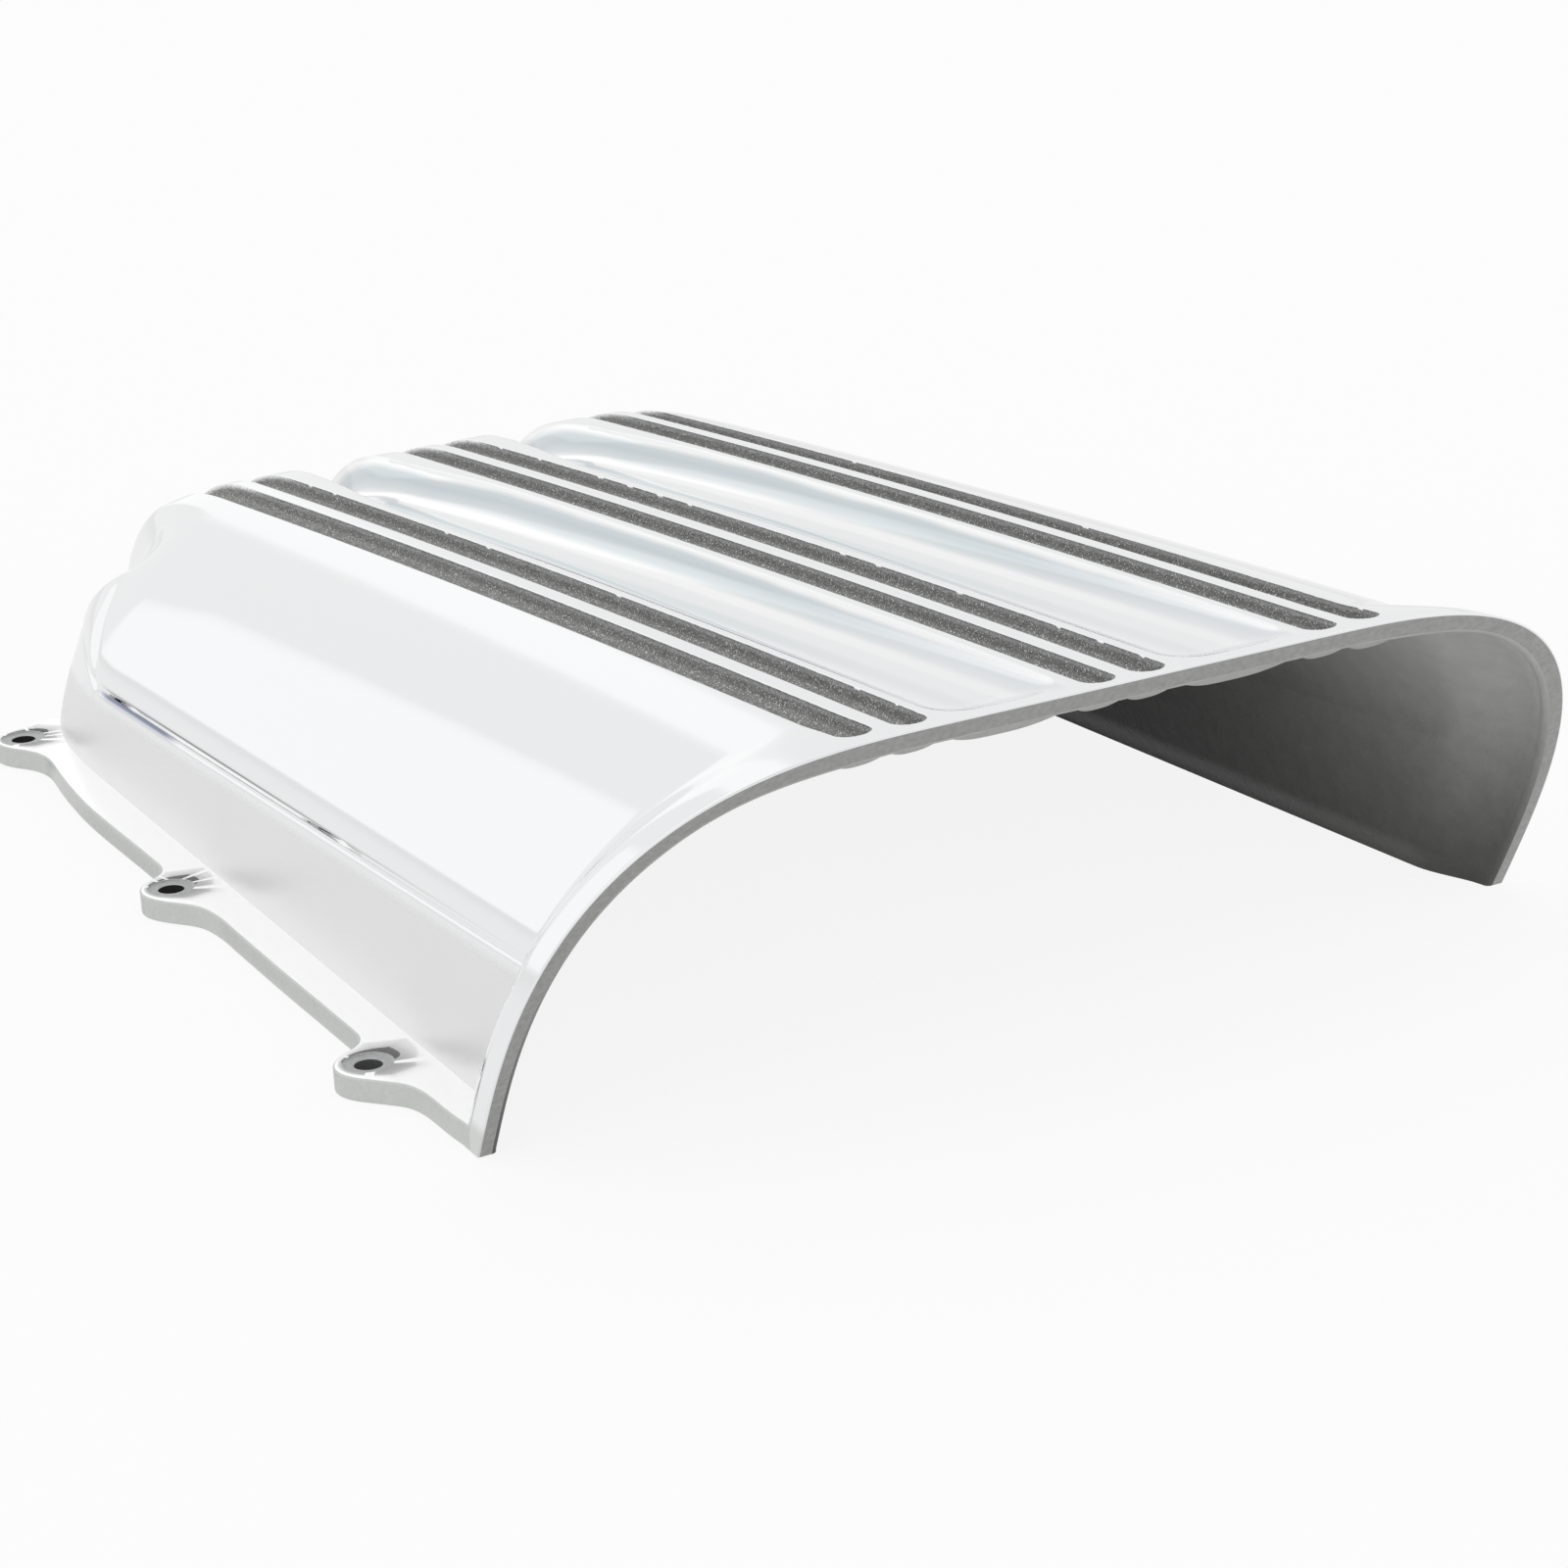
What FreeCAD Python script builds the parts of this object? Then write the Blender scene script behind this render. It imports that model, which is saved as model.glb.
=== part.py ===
import FreeCAD, Part
import math
import os
from FreeCAD import Vector

# Finned scoop cover: one aluminium casting, open at the front (mouth) and underneath.
# Frame: +X to the right looking into the mouth, +Y towards the closed rear, +Z up.
# The bottom face of the ledges lies in Z = 0.

# ---------------------------------------------------------------- driving dimensions, mm
MOUTH_WIDTH = 304.8        # over the two bottom corners of the mouth
MOUTH_RAKE = 28.74         # degrees, the mouth face leans forward at the top
REAR_LENGTH = 396.2        # bottom corner of the mouth to the rear wall
NOSE_START = 318.5         # where the rear wall starts to round over
BODY_WIDTH = 285.6         # body over its side walls, just behind the mouth rim
BODY_TAPER = 0.0425        # loss of half width per mm of length
TOP_HEIGHT = 100.05        # top above the base at the mouth's bottom corners
TOP_SLOPE = 0.0475         # fall of the top per mm of length
TOP_BOW = 0.0075           # quadratic part of that fall, per half mouth width
FLAT_HALF = 53.3           # half width of the flat part of the top
RIM_WIDTH = 6.1            # polished rim band along the mouth
RIM_RUNOUT = 16.8          # blend from the rim into the body
SIDE_WALL = 3.8            # wall at the sides and rear
TOP_WALL = 5.7             # wall of the top between the ribs
CORNER_THIN = 1.6          # less wall where the top turns into the sides
MOUTH_EXTRA_SIDE = 1.5     # more wall at the mouth, at the sides
MOUTH_EXTRA_TOP = 0.4      # more wall at the mouth, along the top
GROOVE_X = (7.0, 57.9, 71.8)   # groove centre lines either side of the middle
GROOVE_WIDTH = 9.3
GROOVE_DEPTH = 4.6
GROOVE_ENDS = (-52.4, -51.0, -49.6)   # front tip of each groove, along Y
CHANNEL_X = 32.7           # centre line of the concave channels
CHANNEL_DEPTH = 7.0        # at the rear shoulder
BUMP = 2.8                 # ribs under the grooves
CREASE_Z = 45.26           # height of the crease between the side panel and the skirt, at the mouth's base
CREASE_FALL = 0.048        # its fall per mm of length
CREASE_IN = 1.52           # how far it sits inside the side panel's curve
LEDGE_T = 6.25             # ledge and ear thickness
EARS = ((155.2, 54.9), (148.0, 200.6), (135.2, 351.0))   # hole centres, mirrored
HOLE_R = 3.57              # clearance hole for a 1/4 in screw
SPOT_R = 6.5               # spotface round each hole
SPOT_DEPTH = 0.5

U = MOUTH_WIDTH / 2.0      # working unit: half the mouth width
RAKE = math.radians(MOUTH_RAKE)
CS, SN = math.cos(RAKE), math.sin(RAKE)
T_SIDE = SIDE_WALL / U
T_TOP = TOP_WALL / U
T_LEDGE = LEDGE_T / U
Y_NOSE = NOSE_START / U
Y_REAR = REAR_LENGTH / U
X_BODY = BODY_WIDTH / 2.0 / U
Z_TOP = TOP_HEIGHT / U
X_FLAT = FLAT_HALF / U


def step(a, b, t):
    t = min(1.0, max(0.0, (t - a) / (b - a)))
    return t * t * (3.0 - 2.0 * t)


def hump(t):
    t = min(1.0, abs(t))
    return 0.5 + 0.5 * math.cos(math.pi * t)


def top_z(y):
    return Z_TOP - TOP_SLOPE * y - TOP_BOW * y * y


def body_x(y):
    return X_BODY - BODY_TAPER * y


def dip(x, y, z):
    # concave channels between the raised bands, and the valley between the outer band and the side lobe
    ax = abs(x)
    half = 0.122 - 0.037 * step(1.6, 2.15, y)
    depth = 0.015 + 0.032 * min(1.0, max(0.0, (y + 0.24) / 2.2)) + 0.05 * step(1.9, 2.4, y)
    depth *= (CHANNEL_DEPTH / U) / 0.046
    front = max(0.0, (-0.24 - y) / 0.10)
    n = 4.2 - 2.0 * step(-0.2, 1.2, y)
    p = 1.0 - abs((ax - CHANNEL_X / U) / half) ** n - front ** 2
    k = 0.20
    p = (max(0.0, p) ** 2 / (2 * k) if p < k else p - k / 2) / (1 - k / 2)
    d = depth * p
    d += 0.075 * step(1.98, 2.4, y) * hump((ax - 0.635) / 0.09)
    d += 0.018 * step(1.6, 2.3, y) * step(0.58, 0.68, ax)
    return d * step(0.05, 0.25, z)


def gauge(x, y, z, inner):
    # below zero inside the surface, above zero outside
    ax = abs(x)
    back = y * CS + z * SN
    f = 1.0 - step(RIM_WIDTH / U, RIM_RUNOUT / U + 0.04, back)
    half = body_x(y) + (1.0 - X_BODY) * f
    d = dip(x, y, z)
    top = top_z(y) - d
    x0 = X_FLAT
    rear = Y_REAR - 2.5 * d
    if inner:
        fi = 1.0 - step(1.0 / U, 22.0 / U, back)
        m = step(0.5 / U, 4.5 / U, back)
        half += (1.0 - X_BODY) * (fi - f) - T_SIDE - MOUTH_EXTRA_SIDE / U * fi
        half += 0.018 * (1.0 - step(0.0, 0.06, z)) * (1.0 - step(1.9, 2.2, y)) * (1.0 - fi)
        top = top_z(y) - 0.8 * d - T_TOP - MOUTH_EXTRA_TOP / U * (1.0 - m) + CORNER_THIN / U * step(0.50, 0.75, ax)
        rib = 0.82 * BUMP / U * hump((ax - CHANNEL_X / U) / 0.15) ** 0.5
        for g in GROOVE_X:
            rib = max(rib, BUMP / U * hump((ax - g / U) / 0.07) ** 0.7)
        top -= m * rib
        x0 -= 0.02
        rear -= T_SIDE
    o = step(0.55, 0.75, ax)
    nose = Y_NOSE - 0.16 * o
    eta = max(0.0, (y - nose) / (rear - nose))
    ze = max(0.0, z) / top
    g = 1.0 - math.exp(-(eta / 0.22) ** 2)
    b = 2.5 + 0.35 * f - 0.15 * g
    # side wall: rounded panel above, straight skirt below, creased where they meet
    zc = CREASE_Z / U - CREASE_FALL * y + 0.06 * step(2.0, 2.25, y)
    s = max(0.3, 1.0 - min(0.99, ze) ** b) ** (1.0 / b)
    sc = (1.0 - (zc / top) ** b) ** (1.0 / b)
    if z >= zc:
        dev = -CREASE_IN / U * (1.0 - min(1.0, (z - zc) / 0.07)) ** 2
    else:
        foot = half - 0.002
        xc = x0 + (half - x0) * sc - CREASE_IN / U
        dev = foot + (xc - foot) * (z - T_LEDGE) / (zc - T_LEDGE) - (x0 + (half - x0) * s)
    # the crease turns up round the rear corner as a shallow fold
    zf = 0.20 + 0.27 * step(2.0, 2.25, y)
    dev -= 0.010 * step(2.02, 2.08, y) * (1.0 - step(2.12, 2.24, y)) * math.exp(-((z - zf) / 0.035) ** 2)
    half += (1.0 - f) * dev / s
    q = max(0.0, ax - x0) / (half - x0)
    return ((q ** 3 + eta ** 3) ** (b / 3.0) + ze ** b) ** (1.0 / b) - 1.0


def pchip(xs, ys, t):
    # monotone cubic interpolation
    n = len(xs)
    h = [xs[i + 1] - xs[i] for i in range(n - 1)]
    s = [(ys[i + 1] - ys[i]) / h[i] for i in range(n - 1)]
    d = [0.0] * n
    for i in range(1, n - 1):
        if s[i - 1] * s[i] > 0:
            w1 = 2 * h[i] + h[i - 1]
            w2 = h[i] + 2 * h[i - 1]
            d[i] = (w1 + w2) / (w1 / s[i - 1] + w2 / s[i])
    d[0] = s[0]
    d[-1] = s[-1]
    i = 0
    while i < n - 2 and t > xs[i + 1]:
        i += 1
    u = (t - xs[i]) / h[i]
    return ((1 + 2 * u) * (1 - u) ** 2 * ys[i] + u * (1 - u) ** 2 * h[i] * d[i]
            + u * u * (3 - 2 * u) * ys[i + 1] + u * u * (u - 1) * h[i] * d[i + 1])


W_KEYS = [0.0, 0.12, 0.55, 0.8, 1.0]
Y_KEYS = [0.0, 0.42, 1.55, 2.02, 2.2]
A_KEYS = [-MOUTH_RAKE, -12.0, 4.0, 38.0, 90.0]


def station(w):
    return pchip(W_KEYS, Y_KEYS, w), math.radians(pchip(W_KEYS, A_KEYS, w))


def cast(yb, ang, zb, ox, orr, dx, dr, inner):
    # where a ray in a section plane meets the surface
    s, c = math.sin(ang), math.cos(ang)
    lo, hi = 0.0, 1.3
    for k in range(34):
        mid = 0.5 * (lo + hi)
        r = orr + mid * dr
        if gauge(ox + mid * dx, yb + r * s, zb + r * c, inner) > 0.0:
            hi = mid
        else:
            lo = mid
    r = orr + lo * dr
    return ox + lo * dx, yb + r * s, zb + r * c


def fan(t):
    # t = 0 at the foot of the side, 1 on the centre line
    if t < 0.16:
        return 0.5, 0.12 * t / 0.16, 1.0, 0.0
    if t < 0.6:
        a = (t - 0.16) / 0.44 * math.pi / 2
        return 0.5, 0.12, math.cos(a), math.sin(a)
    return 0.5 * (1.0 - (t - 0.6) / 0.4), 0.12, 0.0, 1.0


def stations(n, dense_front):
    out = []
    for i in range(n + 1):
        t = i / n
        out.append(t ** 1.35 if dense_front else t)
    return out


def skin(inner, ws, ts, zb=0.0, first=None):
    rows = []
    for w in ws:
        yb, ang = station(w) if w is not None else first
        row = []
        for t in ts:
            ox, orr, dx, dr = fan(t)
            x, y, z = cast(yb, ang, zb, ox, orr, dx, dr, inner)
            if t >= 1.0:
                x = 0.0
            row.append((x, y, z))
        full = [Vector(-x * U, y * U, z * U) for x, y, z in row]
        full += [Vector(x * U, y * U, z * U) for x, y, z in reversed(row[:-1])]
        rows.append(full)
    return rows


def clamped_knots(params, degree=3):
    n = len(params)
    inside = [sum(params[j + 1:j + 1 + degree]) / degree for j in range(n - degree - 1)]
    return [params[0]] * (degree + 1) + inside + [params[-1]] * (degree + 1)


def basis(knots, n, t, degree=3):
    k = degree
    while k < n - 1 and t >= knots[k + 1]:
        k += 1
    vals = [1.0]
    for d in range(1, degree + 1):
        nxt = [0.0] * (d + 1)
        for j in range(d):
            a = knots[k - d + 1 + j]
            b = knots[k + 1 + j]
            w = vals[j] / (b - a)
            nxt[j] += w * (b - t)
            nxt[j + 1] += w * (t - a)
        vals = nxt
    return k - degree, vals


def fit_matrix(params):
    # banded elimination of the interpolation matrix, kept as row operations
    n = len(params)
    knots = clamped_knots(params)
    m = [[0.0] * n for _ in range(n)]
    for i, t in enumerate(params):
        first, vals = basis(knots, n, t)
        for j, v in enumerate(vals):
            m[i][first + j] = v
    ops = []
    for i in range(n):
        for r in range(i + 1, min(n, i + 5)):
            if m[r][i] != 0.0:
                q = m[r][i] / m[i][i]
                for c in range(i, min(n, i + 8)):
                    m[r][c] -= q * m[i][c]
                ops.append((r, i, q))
    return knots, m, ops


def fit_solve(fit, rhs):
    knots, m, ops = fit
    n = len(m)
    y = list(rhs)
    for r, i, q in ops:
        y[r] -= q * y[i]
    for i in range(n - 1, -1, -1):
        acc = y[i]
        for c in range(i + 1, min(n, i + 8)):
            acc -= m[i][c] * y[c]
        y[i] = acc / m[i][i]
    return y


def mean_params(lines):
    n = len(lines[0])
    total = [0.0] * n
    for line in lines:
        run = [0.0]
        for a, b in zip(line, line[1:]):
            run.append(run[-1] + (b - a).Length)
        for i in range(n):
            total[i] += run[i] / run[-1]
    return [v / len(lines) for v in total]


def multiplicities(knots):
    ks, ms = [], []
    for k in knots:
        if ks and abs(k - ks[-1]) < 1e-12:
            ms[-1] += 1
        else:
            ks.append(k)
            ms.append(1)
    return ks, ms


def spline_face(rows):
    # bicubic surface through a grid of points; a planar edge row stays exactly planar
    nu, nv = len(rows), len(rows[0])
    pv = mean_params(rows[::4])
    pu = mean_params([[rows[i][j] for i in range(nu)] for j in range(0, nv, 4)])
    fu, fv = fit_matrix(pu), fit_matrix(pv)
    half = []
    for row in rows:
        cols = [fit_solve(fv, [p[k] for p in row]) for k in range(3)]
        half.append(list(zip(*cols)))
    poles = [[None] * nv for _ in range(nu)]
    for j in range(nv):
        cols = [fit_solve(fu, [half[i][j][k] for i in range(nu)]) for k in range(3)]
        for i in range(nu):
            poles[i][j] = Vector(cols[0][i], cols[1][i], cols[2][i])
    ku, mu = multiplicities(fu[0])
    kv, mv = multiplicities(fv[0])
    s = Part.BSplineSurface()
    s.buildFromPolesMultsKnots(poles, mu, mv, ku, kv, False, False, 3, 3)
    return s.toShape()


def planar_face(edges):
    w = Part.Wire(Part.__sortEdges__(edges))
    return Part.Face(w)


def boundary(face, rows):
    # the four edges of a grid face: front, rear, left foot, right foot
    def near(e, p, q):
        a, b = e.Vertexes[0].Point, e.Vertexes[-1].Point
        return min((a - p).Length + (b - q).Length, (a - q).Length + (b - p).Length)
    ends = ((rows[0][0], rows[0][-1]), (rows[-1][0], rows[-1][-1]), (rows[0][0], rows[-1][0]), (rows[0][-1], rows[-1][-1]))
    return [min(face.Edges, key=lambda e: near(e, p, q)) for p, q in ends]


def closed_skin(rows):
    face = spline_face(rows)
    front, rear, left, right = boundary(face, rows)
    sill = Part.makeLine(rows[0][0], rows[0][-1])
    mouth = planar_face([front, sill])
    floor = planar_face([sill, left, rear, right])
    shell = Part.Shell([face, mouth, floor])
    shell.sewShape()
    if shell.ShapeType != "Shell":
        shell = shell.Shells[0]
    solid = Part.Solid(shell)
    if solid.Volume < 0:
        solid.reverse()
    return solid


# ---------------------------------------------------------------- body
ts = [i / 52.0 for i in range(53)]
ws = stations(72, True)
outer = closed_skin(skin(False, ws, ts))
print("outer", outer.isValid(), round(outer.Volume / 1000.0, 1))

# hollow: its own skin, carried through the mouth and the base so that it cuts cleanly
ZB = -0.03
inner_rows = []
for lead in (-0.09, -0.06, -0.03):
    row = []
    for t in ts:
        ox, orr, dx, dr = fan(t)
        x, y, z = cast(lead, -RAKE, ZB, ox, orr, dx, dr, True)
        row.append((0.0 if t >= 1.0 else x, y, z))
    full = [Vector(-x * U, y * U, z * U) for x, y, z in row]
    full += [Vector(x * U, y * U, z * U) for x, y, z in reversed(row[:-1])]
    inner_rows.append(full)
inner_rows += skin(True, stations(60, True), ts, zb=ZB)
inner = closed_skin(inner_rows)
print("inner", inner.isValid(), round(inner.Volume / 1000.0, 1))

# ---------------------------------------------------------------- ledges and ears
EDGE = [(1.000, -0.060), (1.000, 0.050), (0.9995, 0.130), (0.9985, 0.175), (1.001, 0.212), (1.010, 0.242), (1.027, 0.266),
        (1.048, 0.292), (1.066, 0.316), (1.076, 0.340), (1.077, 0.364), (1.068, 0.388), (1.050, 0.407), (1.028, 0.422),
        (1.005, 0.438), (0.990, 0.460), (0.984, 0.495), (0.982, 0.550), (0.979, 0.640), (0.974, 0.800), (0.968, 0.950),
        (0.963, 1.060), (0.961, 1.115), (0.963, 1.155), (0.970, 1.190), (0.984, 1.217), (1.002, 1.242), (1.018, 1.268),
        (1.028, 1.295), (1.028, 1.322), (1.018, 1.347), (1.001, 1.365), (0.980, 1.380), (0.960, 1.397), (0.949, 1.420),
        (0.945, 1.458), (0.943, 1.520), (0.941, 1.600), (0.938, 1.720), (0.932, 1.850), (0.922, 1.950), (0.910, 2.040),
        (0.900, 2.100), (0.895, 2.145), (0.898, 2.182), (0.908, 2.212), (0.923, 2.238), (0.936, 2.262), (0.943, 2.288),
        (0.941, 2.314), (0.928, 2.336), (0.906, 2.352), (0.877, 2.364), (0.840, 2.376), (0.800, 2.388)]
INNER_EDGE = [(0.70, 2.36), (0.74, 2.0), (0.80, 1.0), (0.82, -0.06)]


def plate(side):
    pts = [Vector(side * x * U, y * U, 0) for x, y in EDGE]
    c = Part.BSplineCurve()
    c.interpolate(pts)
    back = [Vector(side * x * U, y * U, 0) for x, y in INNER_EDGE]
    chain = [pts[-1]] + back + [pts[0]]
    edges = [c.toShape()] + [Part.makeLine(chain[i], chain[i + 1]) for i in range(len(chain) - 1)]
    face = Part.Face(Part.Wire(Part.__sortEdges__(edges)))
    return face.extrude(Vector(0, 0, LEDGE_T))


# everything in front of the mouth plane is cut away
def front_block():
    big = Part.makeBox(600, 200, 300, Vector(-300, -200, -100))
    big.rotate(Vector(0, 0, 0), Vector(1, 0, 0), MOUTH_RAKE)
    return big


ledges = [plate(-1).cut(front_block()), plate(1).cut(front_block())]
solid = outer.fuse(ledges[0]).fuse(ledges[1])
print("with ledges", solid.isValid(), len(solid.Solids))
solid = solid.cut(inner)
print("hollowed", solid.isValid(), len(solid.Solids), round(solid.Volume / 1000.0, 1))


# ---------------------------------------------------------------- grooves
def surface_line(xc):
    pts = []
    n = 70
    for i in range(n + 1):
        w = 0.97 * i / n
        yb, ang = station(w)
        x, y, z = cast(yb, ang, 0.0, xc, 0.12, 0.0, 1.0, False)
        pts.append((y, z))
    return pts


def groove(xc_mm, y_tip_mm):
    xc = xc_mm / U
    hw = GROOVE_WIDTH / 2.0 / U
    dep = GROOVE_DEPTH / U
    y_tip = y_tip_mm / U
    line = surface_line(xc)
    sections = []
    path = [p for p in line if p[0] > y_tip + hw * 1.02 or p[1] < 0.4]
    # start exactly one half width behind the tip
    y0 = y_tip + hw
    prev = [p for p in line if p[0] <= y0 and p[1] > 0.4][-1]
    nxt = path[0]
    k = (y0 - prev[0]) / (nxt[0] - prev[0])
    path = [(y0, prev[1] + k * (nxt[1] - prev[1]))] + path
    total = [0.0]
    for a, b in zip(path, path[1:]):
        total.append(total[-1] + math.hypot(b[0] - a[0], b[1] - a[1]))
    stop = total[-1] - 0.10
    wires = []
    for i, (y, z) in enumerate(path):
        if total[i] > stop:
            break
        a = path[max(0, i - 1)]
        b = path[min(len(path) - 1, i + 1)]
        ty, tz = b[0] - a[0], b[1] - a[1]
        m = math.hypot(ty, tz)
        ny, nz = -tz / m, ty / m
        if nz < -0.2 or (nz < 0 and ny < 0):
            ny, nz = -ny, -nz
        run = step(stop - 0.16, stop, total[i])
        d = dep * (1 - run) - 0.012 * run
        r = 0.0125
        prof = [(-hw - 0.003, 0.05), (-hw, 0.0), (-hw + 0.002, -d + r)]
        for q in (0.5,):
            prof.append((-hw + 0.002 + r * (1 - math.cos(math.pi / 2 * q)), -d + r - r * math.sin(math.pi / 2 * q)))
        prof.append((-hw + 0.002 + r, -d))
        prof = prof + [(-a0, b0) for a0, b0 in reversed(prof)]
        pts = [Vector((xc + a0) * U, (y + ny * b0) * U, (z + nz * b0) * U) for a0, b0 in prof]
        wires.append(Part.makePolygon(pts + [pts[0]]))
    body = Part.makeLoft(wires, True, False)
    # rounded front end
    y, z = path[0]
    b = path[1]
    ty, tz = b[0] - y, b[1] - z
    m = math.hypot(ty, tz)
    ny, nz = -tz / m, ty / m
    base = Vector(xc * U, (y - ny * dep) * U, (z - nz * dep) * U)
    end = Part.makeCylinder(GROOVE_WIDTH / 2.0, (dep + 0.05) * U, base, Vector(0, ny, nz))
    try:
        low = [e for e in end.Edges if e.Curve.TypeId == "Part::GeomCircle"
               and (e.Curve.Center - base).Length < 0.01]
        end = end.makeFillet(0.0125 * U, low)
    except Exception as err:
        print("end fillet", err)
    return body, end


for g, tip in zip(GROOVE_X, GROOVE_ENDS):
    for side in (-1, 1):
        body, end = groove(side * g, tip)
        for tool in (body, end):
            if not tool.isValid():
                print("groove tool invalid", g, side)
            solid = solid.cut(tool)
print("grooved", solid.isValid(), len(solid.Solids), round(solid.Volume / 1000.0, 1))

# ---------------------------------------------------------------- ear holes and spotfaces
for x, y in EARS:
    for side in (-1, 1):
        solid = solid.cut(Part.makeCylinder(HOLE_R, 40, Vector(side * x, y, -10)))
        solid = solid.cut(Part.makeCylinder(SPOT_R, 12, Vector(side * x, y, LEDGE_T - SPOT_DEPTH)))
print("drilled", solid.isValid(), len(solid.Solids), round(solid.Volume / 1000.0, 1))

parts = sorted(solid.Solids, key=lambda s: -s.Volume)
solid = parts[0]
pts = solid.tessellate(0.05)[0]
lo = [min(p[k] for p in pts) for k in range(3)]
hi = [max(p[k] for p in pts) for k in range(3)]
print("box", [round(v, 2) for v in lo + hi])

# origin: middle of the bounding box in X and Y, bottom of the ledges in Z
Y_SHIFT = -round((lo[1] + hi[1]) / 2.0, 3)
solid.translate(Vector(0, Y_SHIFT, 0))
print("shift", Y_SHIFT)
os.makedirs("parts", exist_ok=True)
solid.exportStep("parts/scoop_shell.step")
print("done", solid.isValid(), solid.ShapeType, len(solid.Faces))
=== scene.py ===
import bpy, math
import numpy as np
from mathutils import Vector, Matrix
from mathutils.geometry import delaunay_2d_cdt


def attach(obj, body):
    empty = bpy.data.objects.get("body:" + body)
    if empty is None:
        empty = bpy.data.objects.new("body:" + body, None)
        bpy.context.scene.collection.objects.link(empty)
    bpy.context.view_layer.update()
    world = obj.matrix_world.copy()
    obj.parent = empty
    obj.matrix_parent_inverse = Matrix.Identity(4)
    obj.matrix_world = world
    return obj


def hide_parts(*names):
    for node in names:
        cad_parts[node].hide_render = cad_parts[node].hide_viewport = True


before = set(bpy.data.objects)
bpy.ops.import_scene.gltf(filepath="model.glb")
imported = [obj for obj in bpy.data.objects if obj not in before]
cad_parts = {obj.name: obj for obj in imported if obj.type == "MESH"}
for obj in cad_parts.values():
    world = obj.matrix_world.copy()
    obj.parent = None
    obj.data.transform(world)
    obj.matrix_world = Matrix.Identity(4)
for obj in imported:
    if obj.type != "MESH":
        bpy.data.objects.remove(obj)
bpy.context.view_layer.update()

# ------------------------------------------------------------------ sizes, in half mouth widths
U = 0.1524                      # metres
YS = -0.169977                  # metres, middle of the casting to the frame's origin
RAKE = math.radians(28.74)
CS, SN = math.cos(RAKE), math.sin(RAKE)
MM = 0.001 / U                  # one millimetre in working units
T_SIDE, T_TOP, T_LEDGE = 3.8 * MM, 5.7 * MM, 6.25 * MM
X_BODY, Z_TOP, X_FLAT = 142.8 * MM, 100.05 * MM, 53.3 * MM
Y_NOSE, Y_REAR = 318.5 * MM, 396.2 * MM
GROOVE_X = (7.0 * MM, 57.9 * MM, 71.8 * MM)
GROOVE_HW, GROOVE_D = 4.65 * MM, 4.6 * MM
GROOVE_TIP = (-52.4 * MM, -51.0 * MM, -49.6 * MM)
CHAN_X = 32.7 * MM
EARS = ((155.2 * MM, 54.9 * MM), (148.0 * MM, 200.6 * MM), (135.2 * MM, 351.0 * MM))
CREASE = 0.4 * MM                # extra depth of the crease line
HOLE_R, SPOT_R, SPOT_D = 3.57 * MM, 6.5 * MM, 0.5 * MM


def step(a, b, t):
    t = np.clip((t - a) / (b - a), 0.0, 1.0)
    return t * t * (3.0 - 2.0 * t)


def hump(t):
    t = np.minimum(1.0, np.abs(t))
    return 0.5 + 0.5 * np.cos(np.pi * t)


def dip(x, y, z):
    ax = np.abs(x)
    half = 0.122 - 0.037 * step(1.6, 2.15, y)
    depth = 0.015 + 0.032 * np.clip((y + 0.24) / 2.2, 0, 1) + 0.05 * step(1.9, 2.4, y)
    depth = depth * (7.0 * MM / 0.046)
    front = np.maximum(0.0, (-0.24 - y) / 0.10)
    n = 4.2 - 2.0 * step(-0.2, 1.2, y)
    p = 1.0 - np.abs((ax - CHAN_X) / half) ** n - front ** 2
    k = 0.20
    p = np.where(p < k, np.maximum(0.0, p) ** 2 / (2 * k), p - k / 2) / (1 - k / 2)
    d = depth * p
    d = d + 0.075 * step(1.98, 2.4, y) * hump((ax - 0.635) / 0.09)
    d = d + 0.018 * step(1.6, 2.3, y) * step(0.58, 0.68, ax)
    return d * step(0.05, 0.25, z)


def lobes(ax, y):
    # ribs under the grooves and under each channel, meeting in sharp valleys
    r = 0.0
    for g in GROOVE_X:
        r = np.maximum(r, 2.8 * MM * (1.0 - np.minimum(1.0, np.abs((ax - g) / 0.0465)) ** 2.2))
    return np.maximum(r, 2.3 * MM * (1.0 - np.minimum(1.0, np.abs((ax - CHAN_X) / 0.118)) ** 3.0))


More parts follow.
